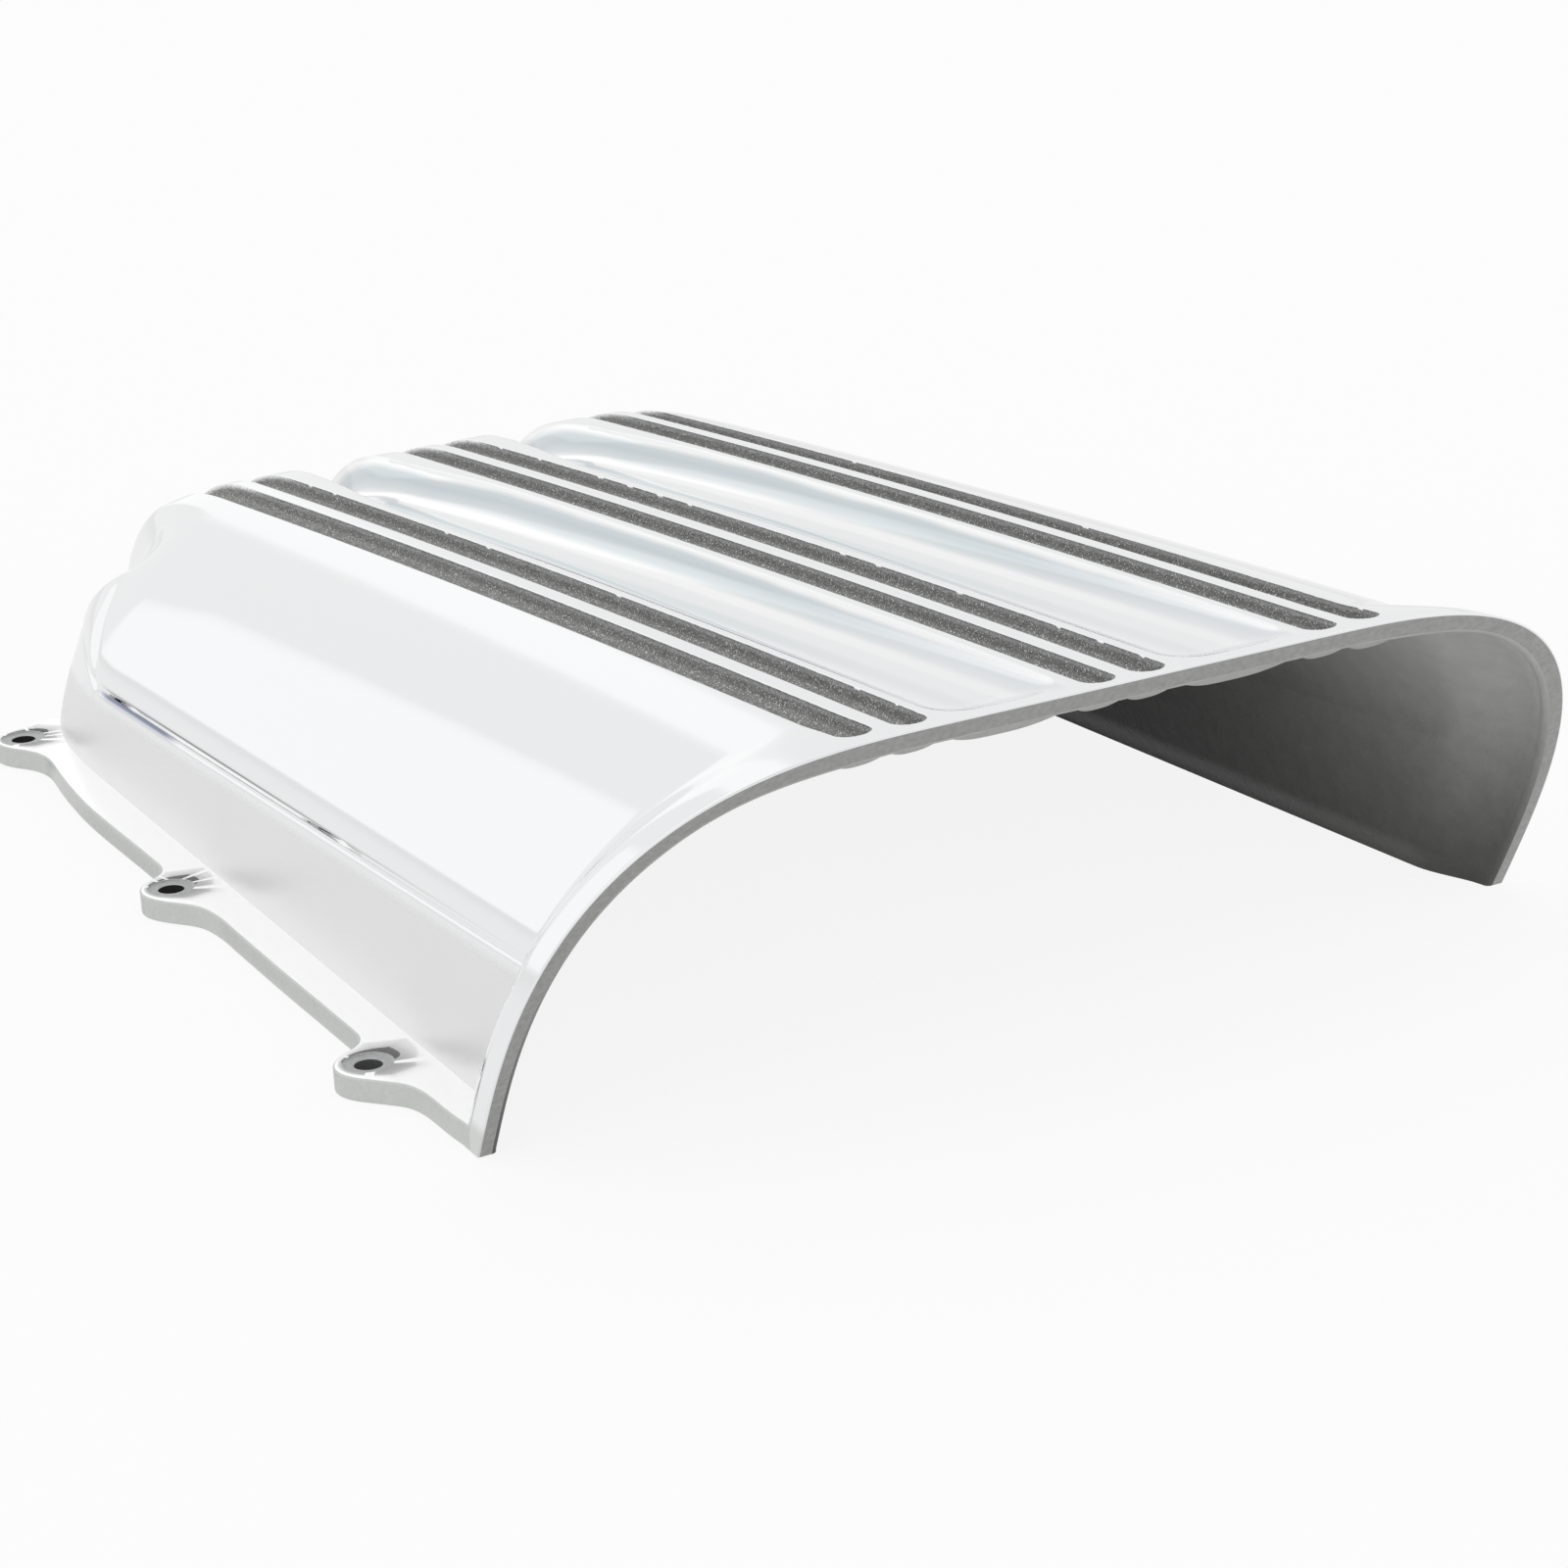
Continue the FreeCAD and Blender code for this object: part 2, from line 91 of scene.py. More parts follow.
def gauge(x, y, z, inner):
    ax = np.abs(x)
    back = y * CS + z * SN
    f = 1.0 - step(6.1 * MM, 16.8 * MM + 0.04, back)
    half = (X_BODY - 0.0425 * y) + (1.0 - X_BODY) * f
    d = dip(x, y, z)
    top = (Z_TOP - 0.0475 * y - 0.0075 * y * y) - d
    x0 = X_FLAT
    rear = Y_REAR - 2.5 * d
    if inner:
        fi = 1.0 - step(1.0 * MM, 22.0 * MM, back)
        m = step(0.5 * MM, 4.5 * MM, back)
        half = half + (1.0 - X_BODY) * (fi - f) - T_SIDE - 1.5 * MM * fi
        half = half + 0.018 * (1.0 - step(0.0, 0.06, z)) * (1.0 - step(1.9, 2.2, y)) * (1.0 - fi)
        top = top + 0.2 * d - T_TOP - 0.4 * MM * (1.0 - m) + 1.6 * MM * step(0.50, 0.75, ax) - m * lobes(ax, y)
        x0 = x0 - 0.02
        rear = rear - T_SIDE
    o = step(0.55, 0.75, ax)
    nose = Y_NOSE - 0.16 * o
    eta = np.maximum(0.0, (y - nose) / (rear - nose))
    ze = np.maximum(0.0, z) / top
    g = 1.0 - np.exp(-(eta / 0.22) ** 2)
    b = 2.5 + 0.35 * f - 0.15 * g
    # the side wall: rounded panel above, straight skirt below, creased where they meet
    zc = 0.297 - 0.048 * y + 0.06 * step(2.0, 2.25, y)
    s_ = np.maximum(0.3, (1.0 - np.minimum(0.99, ze) ** b)) ** (1.0 / b)
    sc = (1.0 - (zc / top) ** b) ** (1.0 / b)
    t = np.clip((z - zc) / 0.07, 0.0, 1.0)
    xc = x0 + (half - x0) * sc - 0.010
    foot = half - 0.002
    line = foot + (xc - foot) * (z - T_LEDGE) / (zc - T_LEDGE)
    dev = np.where(z >= zc, -0.010 * (1.0 - t) ** 2, line - (x0 + (half - x0) * s_))
    zf = 0.20 + 0.27 * step(2.0, 2.25, y)
    dev = dev - 0.010 * step(2.02, 2.08, y) * (1.0 - step(2.12, 2.24, y)) * np.exp(-((z - zf) / 0.035) ** 2)
    if not inner:
        dev = dev - CREASE * np.exp(-((z - zc) / 0.009) ** 2)
    half = half + (1.0 - f) * dev / s_
    q = np.maximum(0.0, ax - x0) / (half - x0)
    return ((q ** 3 + eta ** 3) ** (b / 3.0) + ze ** b) ** (1.0 / b) - 1.0


def pchip(xs, ys, t):
    n = len(xs)
    h = [xs[i + 1] - xs[i] for i in range(n - 1)]
    s = [(ys[i + 1] - ys[i]) / h[i] for i in range(n - 1)]
    d = [0.0] * n
    for i in range(1, n - 1):
        if s[i - 1] * s[i] > 0:
            w1, w2 = 2 * h[i] + h[i - 1], h[i] + 2 * h[i - 1]
            d[i] = (w1 + w2) / (w1 / s[i - 1] + w2 / s[i])
    d[0], d[-1] = s[0], s[-1]
    i = 0
    while i < n - 2 and t > xs[i + 1]:
        i += 1
    u = (t - xs[i]) / h[i]
    return ((1 + 2 * u) * (1 - u) ** 2 * ys[i] + u * (1 - u) ** 2 * h[i] * d[i]
            + u * u * (3 - 2 * u) * ys[i + 1] + u * u * (u - 1) * h[i] * d[i + 1])


W_KEYS = [0.0, 0.12, 0.55, 0.8, 1.0]
Y_KEYS = [0.0, 0.42, 1.55, 2.02, 2.2]
A_KEYS = [-28.74, -12.0, 4.0, 38.0, 90.0]
OX, OZ = 0.56, 0.12              # where the rays of a section start


def stations(ws):
    return (np.array([pchip(W_KEYS, Y_KEYS, w) for w in ws]),
            np.radians(np.array([pchip(W_KEYS, A_KEYS, w) for w in ws])))


# columns of a section: foot of the side, round the shoulder, then straight lines on the top
def columns(side_n, arc_n, xs):
    cols = [(OX, OZ * k / side_n, 1.0, 0.0) for k in range(side_n)]
    for k in range(arc_n):
        a = k / arc_n * math.pi / 2
        cols.append((OX, OZ, math.cos(a), math.sin(a)))
    cols += [(x, OZ, 0.0, 1.0) for x in xs]
    return np.array(cols)


def skin(inner, yb, ang, cols, n=42):
    s, c = np.sin(ang)[:, None], np.cos(ang)[:, None]
    yb = yb[:, None]
    ox, orr, dx, dr = (cols[None, :, k] for k in range(4))
    lo_ = np.zeros((len(ang), cols.shape[0]))
    hi_ = np.full_like(lo_, 1.3)
    for _ in range(n):
        mid = 0.5 * (lo_ + hi_)
        r = orr + mid * dr
        out = gauge(ox + mid * dx, yb + r * s, r * c, inner) > 0
        hi_ = np.where(out, mid, hi_)
        lo_ = np.where(out, lo_, mid)
    r = orr + lo_ * dr
    return np.stack([np.broadcast_to(ox + lo_ * dx, r.shape), yb + r * s, r * c], -1)


def normals_of(p, inner):
    e = 1e-4
    g = []
    for k in range(3):
        dv = np.zeros(3)
        dv[k] = e
        a, b = p + dv, p - dv
        g.append((gauge(a[..., 0], a[..., 1], a[..., 2], inner) - gauge(b[..., 0], b[..., 1], b[..., 2], inner)) / (2 * e))
    g = np.stack(g, -1)
    return g / np.maximum(1e-9, np.linalg.norm(g, axis=-1, keepdims=True))


# ------------------------------------------------------------------ section lines
def spaced(breaks):
    # breaks: list of (position, spacing after it), last entry ends the run
    out = []
    for (a, h), (b, _) in zip(breaks, breaks[1:]):
        m = max(1, int(round((b - a) / h)))
        out += [a + (b - a) * k / m for k in range(m)]
    return out + [breaks[-1][0]]


def top_columns():
    marks = [0.0]
    for g in GROOVE_X:
        for side in (-1, 1):
            e = g + side * GROOVE_HW
            # columns hug each groove edge: o is millimetres outside the edge
            for o in (1.2, 0.7, 0.42, 0.3, 0.2, 0.1, 0.0, -0.06, -0.12, -0.18, -0.25, -0.36, -0.5, -0.7, -1.0, -1.4, -1.9, -2.4):
                marks.append(e + side * o * MM)
    marks.append(OX)
    marks = sorted(set(round(m, 7) for m in marks if 0 <= m <= OX))
    xs = [marks[0]]
    for a, b in zip(marks, marks[1:]):
        m = max(1, int(math.ceil((b - a) / (0.75 * MM))))
        xs += [a + (b - a) * k / m for k in range(1, m + 1)]
    return xs[::-1]


XS = top_columns()
COLS = columns(34, 190, XS)
WS = np.array(spaced([(0.0, 0.00045), (0.026, 0.001), (0.06, 0.0022), (0.12, 0.0028), (0.62, 0.0022), (1.0, 1.0)]))
YB, ANG = stations(WS)
BEV = 0.4 * MM                   # rounding of the mouth's outer edge
BEV_IN = 1.7 * MM                # rounding of its inner edge
half_out = skin(False, YB, ANG, COLS)
NR, NC = half_out.shape[:2]
print("outer grid", NR, NC)

# groove depth at every grid point
arc = {}
for g in GROOVE_X:
    line = skin(False, YB, ANG, np.array([(g, OZ, 0.0, 1.0)]))[:, 0]
    seg = np.linalg.norm(np.diff(line, axis=0), axis=1)
    arc[g] = np.concatenate([[0], np.cumsum(seg)])


def ragged(x, y, seed):
    # small fixed unevenness of a cast edge
    v = 0.0
    for k, (fx, fy, am) in enumerate(((61, 47, 0.5), (133, 101, 0.3), (29, 211, 0.35), (240, 173, 0.2))):
        v = v + am * np.sin(fx * x + 1.7 * k + seed) * np.sin(fy * y + 2.3 * k + 0.7 * seed)
    return v


nrm = normals_of(half_out, False)
nrm[..., 0] = 0
nrm /= np.linalg.norm(nrm, axis=-1, keepdims=True)
depth = np.zeros((NR, NC))
inside = np.full((NR, NC), -99.0)
R0 = 1.9 * MM
for g, tip in zip(GROOVE_X, GROOVE_TIP):
    s_arc = arc[g][:, None]
    # distance along the groove from its tip
    line = skin(False, YB, ANG, np.array([(g, OZ, 0.0, 1.0)]))[:, 0]
    i0 = int(np.argmax(line[:, 1] > tip))
    s_tip = arc[g][i0 - 1] + (tip - line[i0 - 1, 1]) / (line[i0, 1] - line[i0 - 1, 1]) * (arc[g][i0] - arc[g][i0 - 1])
    along = s_arc - s_tip - GROOVE_HW
    dx = half_out[..., 0] - g
    flat = np.abs(dx)
    e = np.where(along > 0, GROOVE_HW - flat, GROOVE_HW - np.hypot(dx, np.minimum(0, along)))
    e = e + 0.012 * MM * ragged(half_out[..., 0], half_out[..., 1], g * 50)
    stop = arc[g][-1] - 0.10 * 1.0
    run = step(stop - 0.16, stop, s_arc)
    dd = np.where(e <= 0, 0.13 * MM * np.clip((e + 0.42 * MM) / (0.42 * MM), 0, 1) ** 2, 0)
    wall = GROOVE_D - R0
    e1 = np.clip(e / (0.25 * MM), 0, 1)
    dd = np.where(e > 0, 0.13 * MM + (wall - 0.13 * MM) * e1, dd)
    q = np.clip((e - 0.25 * MM) / R0, 0, 1)
    dd = dd + np.where(e > 0.25 * MM, R0 * np.sqrt(np.maximum(0, 1 - (1 - q) ** 2)), 0)
    dd = dd * (1 - run)
    near = np.abs(dx) < 6.5 * MM
    depth = np.where(near, np.maximum(depth, dd), depth)
    inside = np.where(near & (run < 0.97), np.maximum(inside, e / MM), inside)
half_out_flat = half_out.copy()
half_out = half_out - nrm * depth[..., None]

# the mouth's outer edge is rounded: the first rows pull in and step back
def mirror(h):
    l = h[:, :, :].copy()
    l[..., 0] *= -1
    return np.concatenate([l, h[:, ::-1][:, 1:]], 1)


outer = mirror(half_out)
depth_f = np.concatenate([depth, depth[:, ::-1][:, 1:]], 1)
inside_f = np.concatenate([inside, inside[:, ::-1][:, 1:]], 1)
NT = outer.shape[1]
BACK = np.array([0.0, CS, SN])


def curve_normals(p):
    # outward normals of a mouth section curve running from the left foot over the top to the right foot
    t = np.gradient(p, axis=0)
    t /= np.linalg.norm(t, axis=1, keepdims=True)
    return np.cross(BACK, t) * -1.0


rows_back = (outer @ BACK)
o0 = outer[0].copy()
no = curve_normals(o0)
if (no[NT // 2] @ np.array([0, -SN, CS])) < 0:
    no = -no
keep = [i for i in range(1, NR) if rows_back[i, 0] > BEV * 1.15]
first = keep[0]
bevel_rows = []
for k in range(0, 5):
    th = k / 4 * math.pi / 2
    bevel_rows.append(o0 - no * BEV * (1 - math.sin(th)) + BACK * BEV * (1 - math.cos(th)))
body_grid = np.concatenate([np.array(bevel_rows), outer[first:]], 0)
body_grid[:5, (0, -1), 2] = 0.0
body_depth = np.concatenate([np.zeros((5, NT)), depth_f[first:]], 0)
body_inside = np.concatenate([np.full((5, NT), -99.0), inside_f[first:]], 0)
bx, by = np.abs(body_grid[..., 0]), body_grid[..., 1]
chan_half = 0.122 - 0.037 * step(1.6, 2.15, by)
# offset across each channel and its extent, which steer the painted channel reflections in the body colour
body_off = (body_grid[..., 0] - np.sign(body_grid[..., 0]) * CHAN_X) / chan_half
body_chan = step(1.0, 0.90, np.abs(body_off)) * step(-0.345, -0.30, by)

# inner skin, same columns so that the mouth face joins line to line
WI = np.array(spaced([(0.0, 0.002), (0.03, 0.004), (0.12, 0.008), (0.6, 0.006), (1.0, 1.0)]))
IC = []
SUB = list(range(0, 224, 2)) + list(range(224, NC, 3))
if SUB[-1] != NC - 1:
    SUB.append(NC - 1)
half_in = skin(True, *stations(WI), COLS)
inn = mirror(half_in)
i0 = inn[0].copy()
ni = curve_normals(i0)
if (ni[NT // 2] @ np.array([0, -SN, CS])) < 0:
    ni = -ni
rb = inn @ BACK
firsti = [i for i in range(1, len(WI)) if rb[i, 0] > BEV_IN * 1.1][0]
inner_rows = []
for k in range(0, 9):
    th = k / 8 * math.pi / 2
    inner_rows.append(i0 + ni * BEV_IN * (1 - math.sin(th)) + BACK * BEV_IN * (1 - math.cos(th)))
inner_grid = np.concatenate([np.array(inner_rows), inn[firsti:]], 0)
inner_grid[:9, (0, -1), 2] = 0.0

# ------------------------------------------------------------------ mesh builder
VERTS, FACES, MATS, ATTR = [], [], [], []
M_BODY, M_MOUTH, M_INNER, M_SPOT, M_TOP, M_SIDE, M_BASE = range(7)


def add_points(p, depth_v=None, inside_v=None, chan_v=None, off_v=None):
    start = sum(len(v) for v in VERTS)
    p = p.reshape(-1, 3)
    VERTS.append(p)
    d = np.zeros(len(p)) if depth_v is None else depth_v.reshape(-1)
    i = np.full(len(p), -99.0) if inside_v is None else inside_v.reshape(-1)
    c = np.zeros(len(p)) if chan_v is None else chan_v.reshape(-1)
    o = np.zeros(len(p)) if off_v is None else off_v.reshape(-1)
    ATTR.append(np.stack([d, i, c, o], 1))
    return start


def grid_faces(start, nr, nc, mat, flip=False):
    i = np.arange(nr - 1)[:, None] * nc
    j = np.arange(nc - 1)[None, :]
    a = start + i + j
    q = np.stack([a, a + 1, a + nc + 1, a + nc], -1).reshape(-1, 4)
    if flip:
        q = q[:, ::-1]
    FACES.extend(q.tolist())
    MATS.extend([mat] * len(q))


def bridge(ia, ib, mat, flip=False, closed=False):
    n = len(ia)
    for k in range(n if closed else n - 1):
        k2 = (k + 1) % n
        q = [int(ia[k]), int(ia[k2]), int(ib[k2]), int(ib[k])]
        FACES.append(q[::-1] if flip else q)
        MATS.append(mat)


sb = add_points(body_grid, body_depth, body_inside, body_chan, body_off)
nb = body_grid.shape[0]
grid_faces(sb, nb, NT, M_BODY, flip=False)
si = add_points(inner_grid)
ni_ = inner_grid.shape[0]
grid_faces(si, ni_, NT, M_INNER, flip=True)
# mouth face, one strip from the outer rows to the inner rows, shaded flat
f0 = sb + np.arange(NT)
f1 = si + np.arange(NT)
bridge(f0, f1, M_MOUTH, flip=True)
# underside strip of the wall
oi = [sb + r * NT for r in range(nb)]
resample = np.linspace(0, 1, 400)


def foot_loop(grid):
    left = grid[:, 0]
    rear_ = grid[-1, 1:-1]
    right = grid[::-1, -1]
    return np.concatenate([left, rear_, right], 0)


def foot_index(start, nr):
    left = [start + r * NT for r in range(nr)]
    rear_ = [start + (nr - 1) * NT + c for c in range(1, NT - 1)]
    right = [start + r * NT + NT - 1 for r in range(nr - 1, -1, -1)]
    return left, rear_, right


ol, orr_, orr2 = foot_index(sb, nb)
il, ir_, ir2 = foot_index(si, ni_)


def zip_strip(a_idx, b_idx, a_pts, b_pts, mat, flip):
    # joins two chains with different numbers of points
    def param(p):
        s = np.concatenate([[0], np.cumsum(np.linalg.norm(np.diff(p, axis=0), axis=1))])
        return s / s[-1]
    pa, pb = param(a_pts), param(b_pts)
    i = j = 0
    while i < len(a_idx) - 1 or j < len(b_idx) - 1:
        if j >= len(b_idx) - 1 or (i < len(a_idx) - 1 and pa[i + 1] <= pb[j + 1]):
            t = [a_idx[i], a_idx[i + 1], b_idx[j]]
            i += 1
        else:
            t = [a_idx[i], b_idx[j + 1], b_idx[j]]
            j += 1
        FACES.append([int(v) for v in (t[::-1] if flip else t)])
        MATS.append(mat)


zip_strip(ol, il, body_grid[:, 0], inner_grid[:, 0], M_BASE, False)
zip_strip(orr2[::-1], ir2[::-1], body_grid[:, -1], inner_grid[:, -1], M_BASE, True)
bridge([ol[-1]] + orr_ + [orr2[0]], [il[-1]] + ir_ + [ir2[0]], M_BASE, flip=False)

# ------------------------------------------------------------------ ledges and ears
EDGE = [(1.000, -0.060), (1.000, 0.050), (0.9995, 0.130), (0.9985, 0.175), (1.001, 0.212), (1.010, 0.242), (1.027, 0.266),
        (1.048, 0.292), (1.066, 0.316), (1.076, 0.340), (1.077, 0.364), (1.068, 0.388), (1.050, 0.407), (1.028, 0.422),
        (1.005, 0.438), (0.990, 0.460), (0.984, 0.495), (0.982, 0.550), (0.979, 0.640), (0.974, 0.800), (0.968, 0.950),
        (0.963, 1.060), (0.961, 1.115), (0.963, 1.155), (0.970, 1.190), (0.984, 1.217), (1.002, 1.242), (1.018, 1.268),
        (1.028, 1.295), (1.028, 1.322), (1.018, 1.347), (1.001, 1.365), (0.980, 1.380), (0.960, 1.397), (0.949, 1.420),
        (0.945, 1.458), (0.943, 1.520), (0.941, 1.600), (0.938, 1.720), (0.932, 1.850), (0.922, 1.950), (0.910, 2.040),
        (0.900, 2.100), (0.895, 2.145), (0.898, 2.182), (0.908, 2.212), (0.923, 2.238), (0.936, 2.262), (0.943, 2.288),
        (0.941, 2.314), (0.928, 2.336), (0.906, 2.352), (0.877, 2.364), (0.840, 2.376), (0.800, 2.388)]


def spline(pts, spacing):
    p = np.array(pts, float)
    t = np.concatenate([[0], np.cumsum(np.linalg.norm(np.diff(p, axis=0), axis=1))])
    n = len(p)
    h = np.diff(t)
    a = np.zeros((n, n))
    r = np.zeros((n, 2))
    a[0, 0] = a[-1, -1] = 1
    for i in range(1, n - 1):
        a[i, i - 1], a[i, i], a[i, i + 1] = h[i - 1], 2 * (h[i - 1] + h[i]), h[i]
        r[i] = 6 * ((p[i + 1] - p[i]) / h[i] - (p[i] - p[i - 1]) / h[i - 1])
    m = np.linalg.solve(a, r)
    out = []
    q = np.linspace(0, t[-1], int(t[-1] / spacing) + 1)
    k = np.clip(np.searchsorted(t, q, side="right") - 1, 0, n - 2)
    A = ((t[k + 1] - q) / h[k])[:, None]
    B = ((q - t[k]) / h[k])[:, None]
    hk = h[k][:, None]
    return A * p[k] + B * p[k + 1] + ((A ** 3 - A) * m[k] + (B ** 3 - B) * m[k + 1]) * hk ** 2 / 6


edge = spline(EDGE, 0.8 * MM)
edge = edge[edge[:, 1] > 0.022]
edge[:, 0] -= 0.0012 * (1 - step(0.05, 0.10, edge[:, 1]))


def foot_line(z, inset):
    # body outline at height z, right side, from the mouth rim to the rear corner, moved in by inset
    ys = np.arange(edge[0, 1], 2.0, 0.012)
    lo_, hi_ = np.zeros(len(ys)), np.full(len(ys), 1.3)
    for _ in range(40):
        mid = (lo_ + hi_) / 2
        o = gauge(mid, ys, np.full(len(ys), z), False) > 0
        hi_ = np.where(o, mid, hi_)
        lo_ = np.where(o, lo_, mid)
    pts = [(x - inset, y) for x, y in zip(lo_, ys)]
    cx, cy = 0.45, 2.0
    for a in np.radians(np.arange(0, 49.0, 1.0)):
        l, h = 0.0, 1.2
        for _ in range(40):
            m = (l + h) / 2
            if gauge(np.array(cx + m * math.cos(a)), np.array(cy + m * math.sin(a)), np.array(z), False) > 0:
                h = m
            else:
                l = m
        ins = inset if a < 0.3 else max(inset, 0.012 if inset > 0 else 0)
        pts.append((cx + (l - ins) * math.cos(a), cy + (l - ins) * math.sin(a)))
    return np.array(pts)


def inside_poly(p, poly):
    x, y = p
    c = False
    n = len(poly)
    j = n - 1
    for i in range(n):
        xi, yi = poly[i]
        xj, yj = poly[j]
        if (yi > y) != (yj > y) and x < (xj - xi) * (y - yi) / (yj - yi) + xi:
            c = not c
        j = i
    return c


def plane_fill(outline, holes, hole_n=56):
    # outline and round holes to triangles; returns points and triangles
    pts = [Vector((float(x), float(y))) for x, y in outline]
    n = len(pts)
    edges = [(i, (i + 1) % n) for i in range(n)]
    for (cx, cy), r in holes:
        s = len(pts)
        pts += [Vector((cx + r * math.cos(2 * math.pi * k / hole_n), cy + r * math.sin(2 * math.pi * k / hole_n))) for k in range(hole_n)]
        edges += [(s + k, s + (k + 1) % hole_n) for k in range(hole_n)]
    v, e, f, ov, oe, of_ = delaunay_2d_cdt(pts, edges, [], 0, 1e-9)
    tris = []
    op = [(float(p[0]), float(p[1])) for p in outline]
    for t in f:
        cx = sum(v[i][0] for i in t) / 3
        cy = sum(v[i][1] for i in t) / 3
        if not inside_poly((cx, cy), op):
            continue
        if any(math.hypot(cx - h[0][0], cy - h[0][1]) < h[1] * 0.995 for h in holes):
            continue
        tris.append(list(t))
    return np.array([(p[0], p[1]) for p in v]), tris


def outline_normals(p):
    t = np.gradient(p, axis=0)
    t /= np.linalg.norm(t, axis=1, keepdims=True)
    return np.stack([t[:, 1], -t[:, 0]], 1)


en = outline_normals(edge)
top_foot = foot_line(T_LEDGE, 0.0030)
base_foot = foot_line(0.0, 0.0)
RB = 0.45 * MM


def put(p2, z, side):
    p2 = np.asarray(p2)
    return np.stack([side * p2[:, 0], p2[:, 1], np.full(len(p2), z)], 1)


for side in (1, -1):
    flip = side < 0
    # outer wall of the ledge, with rounded edges
    rows = []
    for k in range(5):
        th = k / 4 * math.pi / 2
        rows.append(put(edge - en * RB * (1 - math.sin(th)), RB * (1 - math.cos(th)), side))
    for k in (1, 2):
        rows.append(put(edge, RB + (T_LEDGE - 2 * RB) * k / 3, side))
    for k in range(5):
        th = k / 4 * math.pi / 2
        rows.append(put(edge - en * RB * (1 - math.cos(th)), T_LEDGE - RB * (1 - math.sin(th)), side))
    rows = np.array(rows)
    s = add_points(rows)
    grid_faces(s, rows.shape[0], rows.shape[1], M_SIDE, flip=not flip)
    # top
    inner_line = edge - en * RB
    outline = np.concatenate([inner_line, top_foot[::-1]], 0)
    p, tris = plane_fill(outline, [((x, y), SPOT_R) for x, y in EARS])
    s = add_points(put(p, T_LEDGE, side))
    for t in tris:
        a = [s + i for i in t]
        FACES.append(a[::-1] if flip else a)
        MATS.append(M_TOP)
    # underside
    outline = np.concatenate([inner_line, base_foot[::-1]], 0)
    p, tris = plane_fill(outline, [((x, y), HOLE_R + 0.25 * MM) for x, y in EARS])
    s = add_points(put(p, 0.0, side))
    for t in tris:
        a = [s + i for i in t]
        FACES.append(a if flip else a[::-1])
        MATS.append(M_BASE)
    # spotfaces and holes
    n = 56
    ang = np.array([2 * math.pi * k / n for k in range(n)])
    for x, y in EARS:
        prof = [(SPOT_R, T_LEDGE, M_SPOT), (SPOT_R - 0.10 * MM, T_LEDGE - 0.12 * MM, M_SPOT), (SPOT_R - 0.12 * MM, T_LEDGE - SPOT_D + 0.08 * MM, M_SPOT),
                (SPOT_R - 0.25 * MM, T_LEDGE - SPOT_D, M_SPOT), (SPOT_R - 1.2 * MM, T_LEDGE - SPOT_D, M_SPOT), (HOLE_R + 0.9 * MM, T_LEDGE - SPOT_D, M_SPOT),
                (HOLE_R + 0.22 * MM, T_LEDGE - SPOT_D, M_SPOT), (HOLE_R, T_LEDGE - SPOT_D - 0.22 * MM, M_SPOT), (HOLE_R, T_LEDGE * 0.5, M_SPOT), (HOLE_R, 0.25 * MM, M_SPOT),
                (HOLE_R + 0.25 * MM, 0.0, M_SPOT)]
        ring = []
        for r, z, m in prof:
            ring.append(np.stack([side * (x + r * np.cos(ang)), y + r * np.sin(ang), np.full(n, z)], 1))
        s = add_points(np.array(ring))
        for k in range(len(prof) - 1):
            a = [s + k * n + i for i in range(n)]
            b = [s + (k + 1) * n + i for i in range(n)]
            bridge(a, b, M_INNER if k >= 7 else (M_SIDE if k < 3 else M_SPOT), flip=not flip, closed=True)

# ------------------------------------------------------------------ the mesh object
verts = np.concatenate(VERTS, 0)
attr = np.concatenate(ATTR, 0)
world = verts * U
world[:, 1] += YS
mesh = bpy.data.meshes.new("scoop_shell_visual")
mesh.from_pydata(world.tolist(), [], FACES)
mesh.polygons.foreach_set("material_index", np.array(MATS, dtype=np.int32))
for name, col in (("groove_depth", attr[:, 0] / MM), ("groove_inside", attr[:, 1]), ("channel", attr[:, 2]), ("channel_off", attr[:, 3])):
    a = mesh.attributes.new(name, "FLOAT", "POINT")
    a.data.foreach_set("value", col.astype(np.float32))
mesh.update()
mesh.validate()
shell = bpy.data.objects.new("scoop_casting", mesh)
bpy.context.scene.collection.objects.link(shell)
import bmesh
bm = bmesh.new()
bm.from_mesh(mesh)
bmesh.ops.remove_doubles(bm, verts=bm.verts, dist=2e-6)
bm.to_mesh(mesh)
bm.free()
for p in mesh.polygons:
    p.use_smooth = p.material_index not in (M_MOUTH, M_TOP, M_BASE)
mesh.set_sharp_from_angle(angle=math.radians(33))
print("mesh", len(mesh.vertices), len(mesh.polygons))


# ------------------------------------------------------------------ materials
def new_mat(name):
    m = bpy.data.materials.new(name)
    m.use_nodes = True
    nt = m.node_tree
    nt.nodes.clear()
    return m, nt


